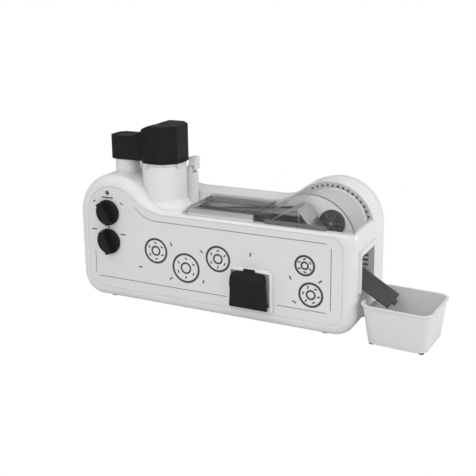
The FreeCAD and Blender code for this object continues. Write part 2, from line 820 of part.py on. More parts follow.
def hood_solid(inset, y0, y1, left):
    radius = hood_radius - inset
    top = front_deck + hood_left_height - inset
    rise, middle, foot = hill_foot(arch_x, arch_z, radius, hood_foot, top)
    right = arch_x + math.sqrt(radius ** 2 - (seat - arch_z) ** 2)
    angle = math.radians(65)

    def at(point):
        return V(point[0], y0, point[1])

    edges = [Part.makeLine(at((left, seat)), at((left, top)))]
    edges.append(Part.makeLine(at((left, top)), at(foot)))
    edges.append(Part.Arc(at(foot), at(middle), at(rise)).toShape())
    crown = (arch_x + radius * math.cos(angle), arch_z + radius * math.sin(angle))
    edges.append(Part.Arc(at(rise), at(crown), at((right, seat))).toShape())
    edges.append(Part.makeLine(at((right, seat)), at((left, seat))))
    return Part.Face(Part.Wire(edges)).extrude(V(0, y1 - y0, 0))


hood = hood_solid(0.0, cover_front, cover_rear, cover_joint)
pieces["wheel_hood"] = hood.cut(hood_solid(cover_wall, cover_front + cover_wall, cover_rear + 1,
                                           cover_joint - 1))

# Conveyor wheel, hub, axle and bush
wheel = rod_y(wheel_x, disc_front, drum_front, wheel_z, wheel_radius)
wheel = wheel.fuse(rod_y(wheel_x, drum_front, wheel_rear, wheel_z, drum_radius))
dish = rod_y(wheel_x, disc_front - 1, disc_front + 1, wheel_z, wheel_radius - 5).cut(
    rod_y(wheel_x, disc_front - 2, disc_front + 2, wheel_z, hub_radius + 2))
axle_hole = rod_y(wheel_x, hub_front + 2, gear_front + gear_width + 5, wheel_z, axle_radius + running_gap)
pieces["conveyor_wheel"] = wheel.cut([dish, axle_hole])
hub = rod_y(wheel_x, disc_front - hub_length / 2, disc_front, wheel_z, hub_radius)
hub = hub.fuse(rod_y(wheel_x, hub_front, disc_front, wheel_z, hub_radius * 0.4))
for index in range(6):
    rib = box(0, hub_radius - 3, hub_front + 2, disc_front - 1, -1.5, 1.5)
    rib.rotate(V(0, 0, 0), BACK, 60 * index)
    rib.translate(V(wheel_x, 0, wheel_z))
    hub = hub.fuse(rib)
pieces["wheel_hub"] = hub.cut(axle_hole)
axle_end = gear_front + gear_width + 4
pieces["wheel_axle"] = rod_y(wheel_x, hub_front + 2 + fit_gap, axle_end, wheel_z, axle_radius)
bush = rod_y(wheel_x, split_depth - 1, divider_rear + 2, wheel_z, bush_radius)
bush = bush.fuse(rod_y(wheel_x, divider_rear, divider_rear + 2, wheel_z, bush_radius + 4))
pieces["axle_bush"] = bush.cut(axle_hole)

# Conveyor belt with its idler
def belt_loop(skin):
    """The belt's line round both pulleys, a skin's thickness out from them."""
    span_x = wheel_x - idler_x
    span_z = wheel_z - idler_z
    span = math.hypot(span_x, span_z)
    tilt = math.atan2(span_z, span_x)
    spread = math.asin((drum_radius - idler_radius) / span)

    def point(x, z, radius, angle):
        return V(x + radius * math.cos(angle), belt_front, z + radius * math.sin(angle))

    small = idler_radius + skin
    large = drum_radius + skin
    over = tilt + math.pi / 2 + spread
    under = tilt - math.pi / 2 - spread
    high = (point(idler_x, idler_z, small, over), point(wheel_x, wheel_z, large, over))
    low = (point(wheel_x, wheel_z, large, under), point(idler_x, idler_z, small, under))
    wire = Part.Wire([
        Part.makeLine(*high), Part.Arc(high[1], point(wheel_x, wheel_z, large, tilt), low[0]).toShape(),
        Part.makeLine(*low),
        Part.Arc(low[1], point(idler_x, idler_z, small, tilt + math.pi), high[0]).toShape()])
    return wire, high


belt_front = drum_front + (drum_width - belt_width) / 2
outer_wire, top_run = belt_loop(belt_gap + belt_thickness)
belt = Part.Face(outer_wire).extrude(V(0, belt_width, 0))
belt = belt.cut(Part.Face(belt_loop(belt_gap)[0]).extrude(V(0, belt_width, 0)))
run = top_run[1] - top_run[0]
along = V(run).normalize()
away = V(-along.z, 0, along.x)
belt_holes = []
for index in range(int(run.Length / belt_hole_pitch)):
    spot = top_run[0] + along * (belt_hole_pitch * (index + 0.5)) + BACK * (belt_width / 2)
    belt_holes.append(Part.makeCylinder(belt_hole_radius, 4 * belt_thickness,
                                        spot - away * 3 * belt_thickness, away))
pieces["conveyor_belt"] = belt.cut(belt_holes)
idler_hole = rod_y(idler_x, drum_front - 1, wheel_rear + 1, idler_z, idler_shaft_radius + running_gap)
pieces["idler_pulley"] = rod_y(idler_x, drum_front, wheel_rear, idler_z, idler_radius).cut(idler_hole)
idler_head = drum_front - fit_gap
pieces["idler_shaft"] = rod_y(idler_x, idler_head, divider_rear + 4, idler_z, idler_shaft_radius).fuse(
    rod_y(idler_x, idler_head - 3, idler_head, idler_z, idler_shaft_radius + 3))


# Gear pair, motor and bracket
def make_gear(teeth, x, z, turn, bore):
    pitch = gear_module * teeth / 2
    tip = pitch + 0.8 * gear_module
    root = pitch - 1.1 * gear_module
    half = math.pi / 2 / teeth * 0.85
    corners = []
    for tooth in range(teeth):
        centre = math.radians(turn) + 2 * math.pi * tooth / teeth
        for radius, swing_half in ((root, -1.45), (tip, -0.5), (tip, 0.5), (root, 1.45)):
            angle = centre + swing_half * half
            corners.append((x + radius * math.cos(angle), z + radius * math.sin(angle)))
    gear = side_prism(corners, gear_front, gear_front + gear_width)
    return gear.cut(rod_y(x, gear_front - 1, gear_front + gear_width + 1, z, bore + running_gap))


pieces["drive_gear"] = make_gear(gear_teeth, wheel_x, wheel_z, -90.0, axle_radius)
pieces["motor_pinion"] = make_gear(pinion_teeth, wheel_x, pinion_z, 90.0 + 180.0 / pinion_teeth, shaft_radius)
plate_front = gear_front + gear_width + motor_plate_gap
plate_rear = plate_front + motor_plate
plate_bottom = pinion_z - motor_plate_drop
plate_top = pinion_z + motor_plate_rise
pieces["motor_shaft"] = rod_y(wheel_x, gear_front - 0.5, plate_rear - 0.2, pinion_z, shaft_radius)
mount = box(wheel_x - motor_plate_half, wheel_x + motor_plate_half, plate_front, plate_rear,
            plate_bottom, plate_top)
leg_reach = motor_plate_half - motor_leg_inset
for leg_x in (wheel_x - leg_reach, wheel_x + leg_reach):
    for leg_z in (plate_bottom + motor_leg_inset, plate_top - motor_leg_rise_inset):
        mount = mount.fuse(rod_y(leg_x, divider_rear, plate_front, leg_z, motor_leg_radius))
pieces["motor_bracket"] = mount.cut(
    rod_y(wheel_x, plate_front - 1, plate_rear + 1, pinion_z, shaft_radius + running_gap))
motor_rear = body_depth - shell_wall - motor_clearance
pieces["gear_motor"] = rod_y(wheel_x, plate_rear, motor_rear, pinion_z, motor_radius)

# Exit frame, transfer ramp and slide
frame = box(body_length, body_length + frame_proud, exit_front - frame_width, exit_front,
            exit_bottom - frame_width, exit_top + lintel_height)
frame = frame.fuse(box(body_length, body_length + frame_width, exit_front - frame_width, split_depth,
                       exit_top, exit_top + lintel_height))
pieces["exit_frame"] = frame
slope = math.radians(slide_slope)


def slide_point(back, under):
    """A point of the slide's side view, back from its tip and under its face."""
    return (slide_tip_x - back * math.cos(slope) - under * math.sin(slope),
            slide_tip_z + back * math.sin(slope) - under * math.cos(slope))


ramp_under = slide_sheet + fit_gap
ramp_end = (slide_tip_x - body_length + 2) / math.cos(slope)
ramp_front = exit_front + 3
ramp_rear = tank_rear - 6
ramp_top = [(ramp_left, ramp_left_z), (crest_left, crest_z), (crest_left + crest_length, crest_z),
            slide_point(slide_length + 1, ramp_under), slide_point(ramp_end, ramp_under)]
ramp_low = [slide_point(ramp_end, ramp_under + ramp_sheet), slide_point(slide_length + 1,
        ramp_under + ramp_sheet),
            (crest_left + crest_length - ramp_sheet / 2, crest_z - ramp_sheet),
            (crest_left + ramp_sheet / 2, crest_z - ramp_sheet), (ramp_left + ramp_sheet, ramp_left_z)]
ramp = side_prism(ramp_top + ramp_low, ramp_front, ramp_rear)
ramp = ramp.fuse(box(tank_right + 1, tank_right + 3, ramp_front, ramp_rear, tank_top,
                     crest_z - 2 * ramp_sheet))
rise_run = V(crest_left - ramp_left, 0, crest_z - ramp_left_z)
rise_along = V(rise_run).normalize()
rise_out = V(-rise_along.z, 0, rise_along.x)
ramp_holes = []
for row in range(1, int(rise_run.Length / ramp_hole_pitch)):
    for column in range(int((ramp_rear - ramp_front) / ramp_hole_pitch)):
        spot = V(ramp_left, ramp_front + ramp_hole_pitch * (column + 0.6), ramp_left_z)
        spot = spot + rise_along * (ramp_hole_pitch * row) - rise_out * (4 * ramp_sheet)
        ramp_holes.append(Part.makeCylinder(ramp_hole_radius, 8 * ramp_sheet, spot, rise_out))
pieces["transfer_ramp"] = ramp.cut(ramp_holes)
slide_front = exit_front + slide_side_gap
notch = 3.0
tab_front = (slide_width - tab_width) / 2
tab_rear = tab_front + tab_width
slide_plan = [(0, 0), (0, tab_front - notch), (-4, tab_front - notch), (-4, tab_front), (tab_reach,
        tab_front),
              (tab_reach, tab_rear), (-4, tab_rear), (-4, tab_rear + notch), (0, tab_rear + notch), (0,
                      slide_width),
              (-slide_length, slide_width), (-slide_length, 0), (0, 0)]
slide = Part.Face(Part.makePolygon([V(x, y, 0) for x, y in slide_plan])).extrude(V(0, 0, -slide_sheet))
slide.rotate(V(0, 0, 0), BACK, slide_slope)
slide.translate(V(slide_tip_x, slide_front, slide_tip_z))
pieces["donut_slide"] = slide

# Collecting tray and its feet
half_length = tray_length / 2
half_width = tray_width / 2


def tray_ring(inset, z):
    fall = (tray_height - z) / (tray_height - tray_foot)
    taper = tray_taper * fall + inset
    rear_taper = tray_rear_taper * fall + inset
    return rounded_plan(taper - half_length, half_length - taper, taper - half_width, half_width - rear_taper,
                        tray_corner, z)


tray = Part.makeLoft([tray_ring(0.0, tray_foot), tray_ring(0.0, tray_height)], True, True)
rim_depth = 3.0
tray = tray.fuse(Part.Face(rounded_plan(
    -half_length - tray_rim, half_length + tray_rim, -half_width - tray_rim, half_width + tray_rim,
    tray_corner + tray_rim, tray_height - rim_depth)).extrude(V(0, 0, rim_depth)))
tray = tray.cut(Part.makeLoft([tray_ring(tray_wall, tray_foot + tray_wall), tray_ring(tray_wall,
        tray_height)],
                              True, True))
tray = tray.cut(box(-half_length - 2 * tray_rim, -half_length + 2 * tray_taper,
                    slide_front - tray_y - 6, slide_front - tray_y + slide_width + 1,
                    tray_height - notch_depth, tray_height + 1))
tray_feet = []
foot_x = half_length - tray_taper - tray_foot_inset
for spot_x in (-foot_x, foot_x):
    for spot_y in (tray_taper + tray_foot_inset - half_width, half_width - tray_rear_taper - tray_foot_inset):
        tray_feet.append(rod_z(spot_x, spot_y, 0, tray_foot, tray_foot_radius))
tray_feet = Part.Compound(tray_feet)
for shape in (tray, tray_feet):
    shape.rotate(V(0, 0, 0), UP, tray_turn)
    shape.translate(V(tray_x, tray_y, 0))
pieces["collecting_tray"] = tray
pieces["tray_feet"] = tray_feet

# Hopper socket with its latch column, the latch clip and its pin
socket_bore = socket_radius - socket_wall
socket = rod_z(hopper_x, dispenser_y, tank_top, socket_top, socket_radius)
skirt_steps = [(-skirt_sink, 0.0), (skirt_reach, 0.0), (skirt_reach * 0.45, skirt_height * 0.23),
               (skirt_reach * 0.14, skirt_height * 0.55), (-skirt_sink, skirt_height)]
skirt_spots = [V(hopper_x + socket_radius + out, dispenser_y, front_deck + rise) for out, rise in skirt_steps]
skirt = Part.Face(Part.makePolygon(skirt_spots + skirt_spots[:1])).revolve(V(hopper_x, dispenser_y, 0),
        UP, 360)
behind = box(0, body_length, split_depth - fit_gap, body_depth, 0, head_top)
column_half = column_width / 2
column_left = column_x - column_half
column_right = column_x + column_half
column_front = column_y - column_half
column_rear = column_y + column_half
pin_z = column_top + ear_height / 2
column = box(column_left, column_right, column_front, column_rear, front_deck, column_top)
socket = socket.fuse(skirt.fuse(column).cut([front_solid, behind]))
for ear_y in (column_front, column_rear - ear_thickness):
    ear = box(column_x - 6, column_x + 6, ear_y, ear_y + ear_thickness, column_top - 1,
              column_top + ear_height)
    socket = socket.fuse(ear)
clip_pin_hole = rod_y(column_x, column_front - 1, column_rear + 1, pin_z, clip_pin_radius + running_gap)
socket = socket.cut([
    rod_z(hopper_x, dispenser_y, tank_top + shell_wall, socket_top + 1, socket_bore),
    rod_z(hopper_x, dispenser_y, tank_top - 1, front_deck + 1, nozzle_radius + 4), clip_pin_hole])
pieces["hopper_socket"] = socket
tongue = ear_thickness + fit_gap
clip = box(column_x - 5, column_x + 5, column_front + tongue, column_rear - tongue, column_top + 2,
           column_top + ear_height + 4)
clip = clip.fuse(box(column_x - 2, column_right + 3, column_front + 1, column_rear + 1,
                     column_top + ear_height + 3, column_top + clip_height))
clip = clip.fuse(box(column_right + fit_gap, column_right + 3, column_front + 1, column_rear + 1, pin_z,
                     column_top + ear_height + 4))
pieces["latch_clip"] = clip.cut(clip_pin_hole)
pieces["latch_pin"] = rod_y(column_x, column_front, column_rear, pin_z, clip_pin_radius)

# Hopper with its rim and bayonet tabs
cup = socket_bore - 1
rim_low = socket_top + fit_gap
rim_high = rim_low + hopper_rim
cone_top = front_deck + 34
cone_low = front_deck + 10
nozzle_end = deck_under - 4
profile = [(socket_radius, rim_high), (socket_radius, rim_low), (cup, rim_low), (cup, cone_top),
           (nozzle_radius, cone_low), (nozzle_radius, nozzle_end), (nozzle_radius - hopper_wall, nozzle_end),
           (nozzle_radius - hopper_wall, cone_low + 1), (cup - hopper_wall, cone_top + 1),
           (cup - hopper_wall, rim_high)]
corners = [V(hopper_x + radius, dispenser_y, z) for radius, z in profile]
hopper = Part.Face(Part.makePolygon(corners + corners[:1])).revolve(V(hopper_x, dispenser_y, 0), UP, 360)
for angle in (-110, -20):
    tab = box(socket_radius - 1, socket_radius + 3, -5, 5, rim_low, rim_high)
    tab = tab.fuse(box(socket_radius + fit_gap, socket_radius + 3, -5, 5, rim_low - 5, rim_high))
    tab.rotate(V(0, 0, 0), UP, angle)
    tab.translate(V(hopper_x, dispenser_y, 0))
    hopper = hopper.fuse(tab)
pieces["hopper"] = hopper

# Drive post on the hump
post = rod_z(post_x, dispenser_y, hump_z, post_top, post_radius).cut(
    rod_z(post_x, dispenser_y, hump_z - 1, post_top - post_wall, post_radius - post_wall))
post = post.cut(front_solid)
pieces["drive_post"] = post.cut(rod_z(post_x, dispenser_y, hump_z, post_top + 1, rod_radius + running_gap))


# Drive cover: a low box over the post, a tall chamfered box over the hopper and a swoop between
def head_plan(inset, z0, z1):
    low = low_half - inset
    left = low_left + inset
    tall = head_half - inset
    chamfer = head_chamfer - inset * (2 - math.sqrt(2))
    joint = hopper_x - head_half + head_chamfer
    low_plan = Part.Face(round_corners(
        [V(left, dispenser_y - low, z0), V(joint, dispenser_y - low, z0), V(joint, dispenser_y + low, z0),
         V(left, dispenser_y + low, z0)], [low_corner - inset, 1, 1, low_corner - inset]))
    cut = tall - chamfer
    tall_points = [(-tall, -cut), (-cut, -tall), (cut, -tall), (tall, -cut), (tall, cut), (cut, tall),
                   (-cut, tall),
                   (-tall, cut), (-tall, -cut)]
    tall_plan = Part.Face(Part.makePolygon([V(hopper_x + x, dispenser_y + y, z0) for x, y in tall_points]))
    return low_plan.extrude(V(0, 0, z1 - z0)).fuse(tall_plan.extrude(V(0, 0, z1 - z0)))


swoop_start = 98.0
swoop_end = 140.0


def head_side(inset):
    """The cover's side view: low on the left, swooping up to the tall box."""
    y0 = dispenser_y - head_half - 5
    low = low_top - inset
    high = head_top - inset
    shoulder_z = head_top - 8 - inset
    right = hopper_x + head_half + 1

    def at(x, z):
        return V(x, y0, z)

    sag = at((swoop_start + swoop_end) / 2 + inset, (low + shoulder_z) / 2 - 4)
    edges = [Part.makeLine(at(low_left - 1, head_bottom - 1), at(low_left - 1, low)),
             Part.makeLine(at(low_left - 1, low), at(swoop_start + inset, low)),
             Part.Arc(at(swoop_start + inset, low), sag, at(swoop_end + inset, shoulder_z)).toShape(),
             Part.makeLine(at(swoop_end + inset, shoulder_z), at(swoop_end + inset + 18, high)),
             Part.makeLine(at(swoop_end + inset + 18, high), at(right, high)),
             Part.makeLine(at(right, high), at(right, head_bottom - 1)),
             Part.makeLine(at(right, head_bottom - 1), at(low_left - 1, head_bottom - 1))]
    return Part.Face(Part.Wire(edges)).extrude(V(0, 2 * head_half + 10, 0))


head = head_plan(0.0, head_bottom, head_top).common(head_side(0.0))
head = head.fuse(rod_z(hopper_x, dispenser_y, head_bottom, head_bottom + flange_height, socket_radius + 1.5))
head = head.cut(head_plan(head_wall, head_bottom - 1, head_top).common(head_side(head_wall)))
dish_depth = 1.2
head = head.cut(box(low_left + 5, swoop_start - 8, dispenser_y - low_half + 6, dispenser_y + low_half - 6,
                    low_top - dish_depth, low_top + 1))
head = head.cut(rod_z(hopper_x - 4, dispenser_y - 6, head_top - dish_depth, head_top + 1, 15))
pin_reach = low_half - head_wall
for side in (-1, 1):
    boss_y = dispenser_y + side * (pin_reach - 4)
    boss = rod_y(beam_x, boss_y - 4, boss_y + 4, beam_z, 6)
    head = head.fuse(boss)
beam_pin_hole = rod_y(beam_x, dispenser_y - pin_reach, dispenser_y + pin_reach, beam_z,
                      shaft_radius + running_gap)
pieces["drive_cover"] = head.cut(beam_pin_hole)
pieces["beam_pin"] = rod_y(beam_x, dispenser_y - pin_reach + fit_gap, dispenser_y + pin_reach - fit_gap,
                           beam_z,
                           shaft_radius)
beam = box(post_x - rod_radius - 2, hopper_x + rod_radius + 2, dispenser_y - beam_width / 2,
           dispenser_y + beam_width / 2, beam_z - beam_half_height, beam_z + beam_half_height)
beam = beam.fuse(rod_y(beam_x, dispenser_y - beam_width / 2, dispenser_y + beam_width / 2, beam_z, 7))
pieces["rocker_beam"] = beam.cut(beam_pin_hole)

# Plunger with its cutter head, lift rod, cam and dispenser motor
rod_top = beam_z - beam_half_height - rod_gap
cutter_z = nozzle_end + 6
plunger = rod_z(hopper_x, dispenser_y, cutter_z, rod_top - rod_radius, rod_radius)
plunger = plunger.fuse(Part.makeSphere(rod_radius, V(hopper_x, dispenser_y, rod_top - rod_radius)))
plunger = plunger.fuse(Part.makeCone(
    nozzle_radius - hopper_wall - 1.5, rod_radius, 8, V(hopper_x, dispenser_y, cutter_z), UP))
pieces["plunger"] = plunger
lift_low = cam_z + cam_radius + cam_offset + lift_clearance
lift = rod_z(post_x, dispenser_y, lift_low, rod_top - rod_radius, rod_radius)
pieces["lift_rod"] = lift.fuse(Part.makeSphere(rod_radius, V(post_x, dispenser_y, rod_top - rod_radius)))
cam_rear = dispenser_y + 6
cam = rod_y(post_x + cam_offset, dispenser_y - 6, cam_rear, cam_z, cam_radius)
cam_shaft_end = cam_rear + 3
pieces["lift_cam"] = cam.fuse(rod_y(post_x, cam_rear, cam_shaft_end, cam_z, shaft_radius))
cam_motor = rod_y(post_x, cam_shaft_end + fit_gap, split_depth, cam_z, cam_motor_radius)
pieces["dispenser_motor"] = cam_motor

# Cord inlet
inlet = rod_y(inlet_x, body_depth - 2 * shell_wall, body_depth, inlet_z, inlet_radius)
inlet = inlet.fuse(rod_y(inlet_x, body_depth, body_depth + 2, inlet_z, inlet_radius + 3))
pieces["cord_inlet"] = inlet.cut(
    rod_y(inlet_x, body_depth - 3 * shell_wall, body_depth + 3, inlet_z, inlet_radius / 2))

# The set is moved so that the origin is under the middle of its box
whole = Part.Compound(list(pieces.values())).optimalBoundingBox(False, False)
origin_shift = V(-(whole.XMin + whole.XMax) / 2, -(whole.YMin + whole.YMax) / 2, -whole.ZMin)

os.makedirs("parts", exist_ok=True)
for name, shape in pieces.items():
    shape.translate(origin_shift)
    shape.exportStep("parts/" + name + ".step")
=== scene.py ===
import math
import bpy
import mathutils
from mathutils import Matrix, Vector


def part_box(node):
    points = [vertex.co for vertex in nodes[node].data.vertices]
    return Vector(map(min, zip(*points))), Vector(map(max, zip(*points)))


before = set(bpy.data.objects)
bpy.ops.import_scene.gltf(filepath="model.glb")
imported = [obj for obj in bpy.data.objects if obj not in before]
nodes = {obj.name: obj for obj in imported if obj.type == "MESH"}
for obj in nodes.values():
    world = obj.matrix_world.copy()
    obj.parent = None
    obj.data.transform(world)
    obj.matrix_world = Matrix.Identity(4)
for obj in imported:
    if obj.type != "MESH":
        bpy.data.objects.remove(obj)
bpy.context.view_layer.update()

# Base plate, brackets, ramp, drain pipe, shafts, pins, screws and heater: plain steel, bent or turned.
# The metal is drawn bright, with fine streaks along the lane, and the parts are bolted
# or pressed in before the case closes round them.


class Socket:
    """One shader socket. Arithmetic on it adds the maths nodes."""

    def __init__(self, tree, out):
        self.tree = tree
        self.out = out

    def node(self, kind, inputs, out=0, **settings):
        """A new node with its settings, and with values or links on its inputs."""
        made = self.tree.nodes.new(kind)
        for key, value in settings.items():
            setattr(made, key, value)
        for key, value in inputs.items():
            if isinstance(value, Socket):
                self.tree.links.new(value.out, made.inputs[key])
            else:
                made.inputs[key].default_value = value
        return Socket(self.tree, made.outputs[out])

    def math(self, operation, *others):
        return self.node("ShaderNodeMath", dict(enumerate((self,) + others)), operation=operation)

    def __add__(self, other):
        return self.math("ADD", other)

    def __radd__(self, other):
        return self.math("ADD", other)

    def __sub__(self, other):
        return self.math("SUBTRACT", other)

    def __rsub__(self, other):
        return self.math("MULTIPLY", -1.0).math("ADD", other)

    def __mul__(self, other):
        return self.math("MULTIPLY", other)

    def __rmul__(self, other):
        return self.math("MULTIPLY", other)

    def ramp(self, low, high, start=0.0, end=1.0):
        """Runs from start to end as this goes from low to high, and stays there beyond."""
        return self.node("ShaderNodeMapRange", {0: self, 1: low, 2: high, 3: start, 4: end})

    def spread(self, start, end):
        """Runs from start to end over the range that a noise mostly keeps to."""
        return self.ramp(0.3, 0.7, start, end)

    def grey(self, red=1.0, green=1.0, blue=1.0):
        """This value as a colour, with a slight tint."""
        return self.node("ShaderNodeCombineColor", {0: self * red, 1: self * green, 2: self * blue})


def finish_of(name):
    """A new material, its surface node, and its Object coordinates as a socket."""
    made = bpy.data.materials.new(name)
    made.use_nodes = True
    tree = made.node_tree
    place = Socket(tree, tree.nodes.new("ShaderNodeTexCoord").outputs["Object"])
    return made, tree.nodes["Principled BSDF"], place


def soft_edge(place, radius):
    """The surface's direction, with its edges rounded to a radius."""
    return place.node("ShaderNodeBevel", {"Radius": radius}, samples=4)


def feed(surface, **sockets):
    """Links sockets to a surface node's inputs, named with underscores."""
    for name, value in sockets.items():
        value.tree.links.new(value.out, surface.inputs[name.replace("_", " ")])


def paint(names, material):
    """Gives nodes of the frame one material."""
    for name in names:
        for index in range(len(nodes[name].data.materials)):
            nodes[name].data.materials[index] = material


streaks_per_metre = (20.0, 400.0, 400.0)
bright_steel, surface, place = finish_of("bright_steel")
drawn = place.node("ShaderNodeMapping", {"Vector": place, "Scale": streaks_per_metre})
streak = place.node("ShaderNodeTexNoise", {"Vector": drawn, "Scale": 1.0, "Detail": 2.0})
feed(surface, Base_Color=streak.spread(start=0.50, end=0.60).grey(),
     Roughness=streak.spread(start=0.28, end=0.42), Normal=soft_edge(place, radius=0.0005))
surface.inputs["Metallic"].default_value = 1.0
paint(["chassis_plate", "chassis_screws", "tank_brackets", "motor_bracket", "heating_element",
       "transfer_ramp", "upper_shaft", "lower_shaft", "door_pin", "drain_pipe", "wheel_axle", "idler_shaft",
       "motor_shaft", "latch_pin", "beam_pin", "lift_rod"], bright_steel)

# Fry tank: a pressed steel trough that stands on two bent brackets.
# Hot oil leaves a dull film on it, so it is darker than the other steel.


def wear(place, grain, low, high):
    """A soft mottle from low to high, with grains of the given size in metres."""
    noise = place.node("ShaderNodeTexNoise", {"Vector": place, "Scale": 1.0 / grain, "Detail": 3.0})
    return noise.spread(low, high)


def mottled(name, mottle, tones, grain, roughness, metallic=0.0, tint=(1.0, 1.0, 1.0), edge=None):
    """A finish with a soft mottle in its tone and a grain in its roughness, both sized in metres."""
    made, surface, place = finish_of(name)
    feed(surface, Base_Color=wear(place, mottle, *tones).grey(*tint),
         Roughness=wear(place, grain, *roughness))
    if edge:
        feed(surface, Normal=soft_edge(place, edge))
    surface.inputs["Metallic"].default_value = metallic
    return made


oiled_steel = mottled("oiled_steel", mottle=0.02, tones=(0.20, 0.32), grain=0.02, roughness=(0.30, 0.48),
                      metallic=0.9)
paint(["fry_tank"], oiled_steel)

# Motors: zinc-plated cans. The wheel's motor is bolted behind its bracket,
# and the batter head's motor stands behind its cam. The plating has dulled to a dark grey.
dark_zinc = mottled("dark_zinc", mottle=0.01, tones=(0.18, 0.26), grain=0.003, roughness=(0.35, 0.50),
                    metallic=0.7)
paint(["gear_motor", "dispenser_motor"], dark_zinc)

# Switches and heat sensor: small moulded housings of hard dark plastic.
# The switches reach through the panel with their noses, and the sensor touches the tank from below.
moulded_dark = mottled("moulded_dark", mottle=0.01, tones=(0.03, 0.05), grain=0.003, roughness=(0.45, 0.60))
paint(["power_switch", "timer_switch", "heat_sensor"], moulded_dark)

# Gears, bush, cam, rocker beam, hopper and plunger: natural plastic, slightly creamy.
# They are moulded, and those that turn run dry.
natural_plastic = mottled("natural_plastic", mottle=0.03, tones=(0.62, 0.68), grain=0.003,
                          roughness=(0.38, 0.48), tint=(1.0, 0.99, 0.95), edge=0.0006)
paint(["drive_gear", "motor_pinion", "axle_bush", "lift_cam", "rocker_beam", "hopper", "plunger"],
      natural_plastic)

# Conveyor wheel and idler: pale moulded plastic pulleys that carry the belt.
# The wheel turns with its axle and shows through the hood.
pale_grey = mottled("pale_grey", mottle=0.05, tones=(0.88, 0.92), grain=0.004, roughness=(0.40, 0.50),
                    edge=0.0008)
paint(["conveyor_wheel", "idler_pulley"], pale_grey)

# Wheel hub: a dark moulded boss on the wheel's front face.
# Its six ribs are painted paler, a painted highlight where they stand proud, and a bright screw in its
# middle holds it on the axle.


def parts_of(place):
    """The three coordinates of a place, each as a socket."""
    return [place.node("ShaderNodeSeparateXYZ", {0: place}, out=axis) for axis in range(3)]


def distance(across, up):
    """How far a spot lies from a middle, from its two offsets."""
    return (across.math("POWER", 2.0) + up.math("POWER", 2.0)).math("SQRT")


rib_count = 6
rib_sine = 0.16
rib_highlight_tone = 0.050
screw_radius = 0.003
screw_paler = 0.25
low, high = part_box("wheel_hub")
hub_dark, surface, place = finish_of("hub_dark")
spot_x, _, spot_z = parts_of(place)
across = spot_x - (low[0] + high[0]) / 2
up = spot_z - (low[2] + high[2]) / 2
from_rib = (up.math("ARCTAN2", across) * (rib_count / 2)).math("SINE").math("ABSOLUTE")
# The ribs are painted paler: a painted highlight on their raised faces.
rib_highlight = from_rib.ramp(rib_sine, 2 * rib_sine, rib_highlight_tone, 0.0)
screw = distance(across, up).ramp(screw_radius, 1.1 * screw_radius, screw_paler, 0.0)
tone = wear(place, grain=0.01, low=0.035, high=0.055) + rib_highlight + screw
feed(surface, Base_Color=tone.grey(), Roughness=wear(place, grain=0.003, low=0.45, high=0.60),
     Normal=soft_edge(place, radius=0.0008))
paint(["wheel_hub"], hub_dark)

# Belt, feet, tray feet and cord inlet: soft black rubber.
# The belt is stretched over the wheel's drum and the idler, the feet are stuck on,
# and the inlet is pressed into its hole in the rear shell.
soft_rubber = mottled("soft_rubber", mottle=0.006, tones=(0.025, 0.040), grain=0.002, roughness=(0.60, 0.75))
paint(["conveyor_belt", "feet", "tray_feet", "cord_inlet"], soft_rubber)

# Case: front and rear shell, smooth white plastic with a slight mottle and a fine moulded grain.
# The socket, post, latch, exit frame, door surround and inner wall are of the same plastic.
# The shells are screwed to the base plate from below.


def grained(place, grain, edge):
    """The surface's direction, with rounded edges and a fine moulded grain."""
    height = wear(place, grain, low=0.3, high=0.7)
    return place.node("ShaderNodeBump", {"Height": height, "Distance": 0.0002, "Strength": 0.25,
                                         "Normal": soft_edge(place, edge)})


case_white, surface, place = finish_of("case_white")
feed(surface, Base_Color=wear(place, grain=0.09, low=0.72, high=0.76).grey(blue=0.99),
     Roughness=wear(place, grain=0.004, low=0.30, high=0.38),
     Normal=grained(place, grain=0.0012, edge=0.0012))
surface.inputs["Coat Weight"].default_value = 0.15
paint(["front_shell", "rear_shell", "hopper_socket", "drive_post", "latch_clip", "exit_frame",
       "door_surround", "divider_wall"], case_white)

# Front panel: a white plate let into the front shell, a touch greyer than the case.
# Its grooves are painted darker, as painted shade. Ticks stand round the knobs, and ring donuts with
# sprinkles are printed on it in black.
ink_tone = 0.06
groove_tone = 0.30
groove_start = 0.0001
groove_end = 0.0006
blur = 0.0002
low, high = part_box("front_panel")
panel_white, surface, place = finish_of("panel_white")
spot_x, spot_y, spot_z = parts_of(place)
across = spot_x - low[0]
up = spot_z - low[2]


def printed_ring(x, z, radius, half_width):
    """Ink on a ring, placed from the panel's lower left corner."""
    off = (distance(across - x, up - z) - radius).math("ABSOLUTE")
    return off.ramp(half_width - blur, half_width + blur, 1.0, 0.0)


def printed_dash(x, z, half_length, half_width, turn):
    """Ink on a short stroke, turned by an angle."""
    along = (across - x) * math.cos(turn) + (up - z) * math.sin(turn)
    aside = (up - z) * math.cos(turn) - (across - x) * math.sin(turn)
    inside = along.math("ABSOLUTE").ramp(half_length - blur, half_length + blur, 1.0, 0.0)
    return inside * aside.math("ABSOLUTE").ramp(half_width - blur, half_width + blur, 1.0, 0.0)


def middle_on_panel(name):
    """A node's middle, from the panel's lower left corner."""
    near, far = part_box(name)
    return (near[0] + far[0]) / 2 - low[0], (near[2] + far[2]) / 2 - low[2]


# Each tick has its place from the knob's middle, its half length and its turn.
strokes = []
tick_half_width = 0.0013
upright = math.pi / 2
upper_ticks = [(0.0, 0.0305, 0.0130, 0.0), (-0.0325, 0.0205, 0.0035, 0.6), (0.0325, 0.0205, 0.0035, -0.6)]
lower_ticks = [(-0.0350, 0.0213, 0.0060, 0.0), (0.0340, 0.0173, 0.0060, 0.0), (0.0, 0.0298, 0.0035, upright)]
for knob, ticks in (("upper_knob", upper_ticks), ("lower_knob", lower_ticks)):
    knob_x, knob_z = middle_on_panel(knob)
    for x, z, half_length, turn in ticks:
        strokes.append(printed_dash(knob_x + x, knob_z + z, half_length, tick_half_width, turn))

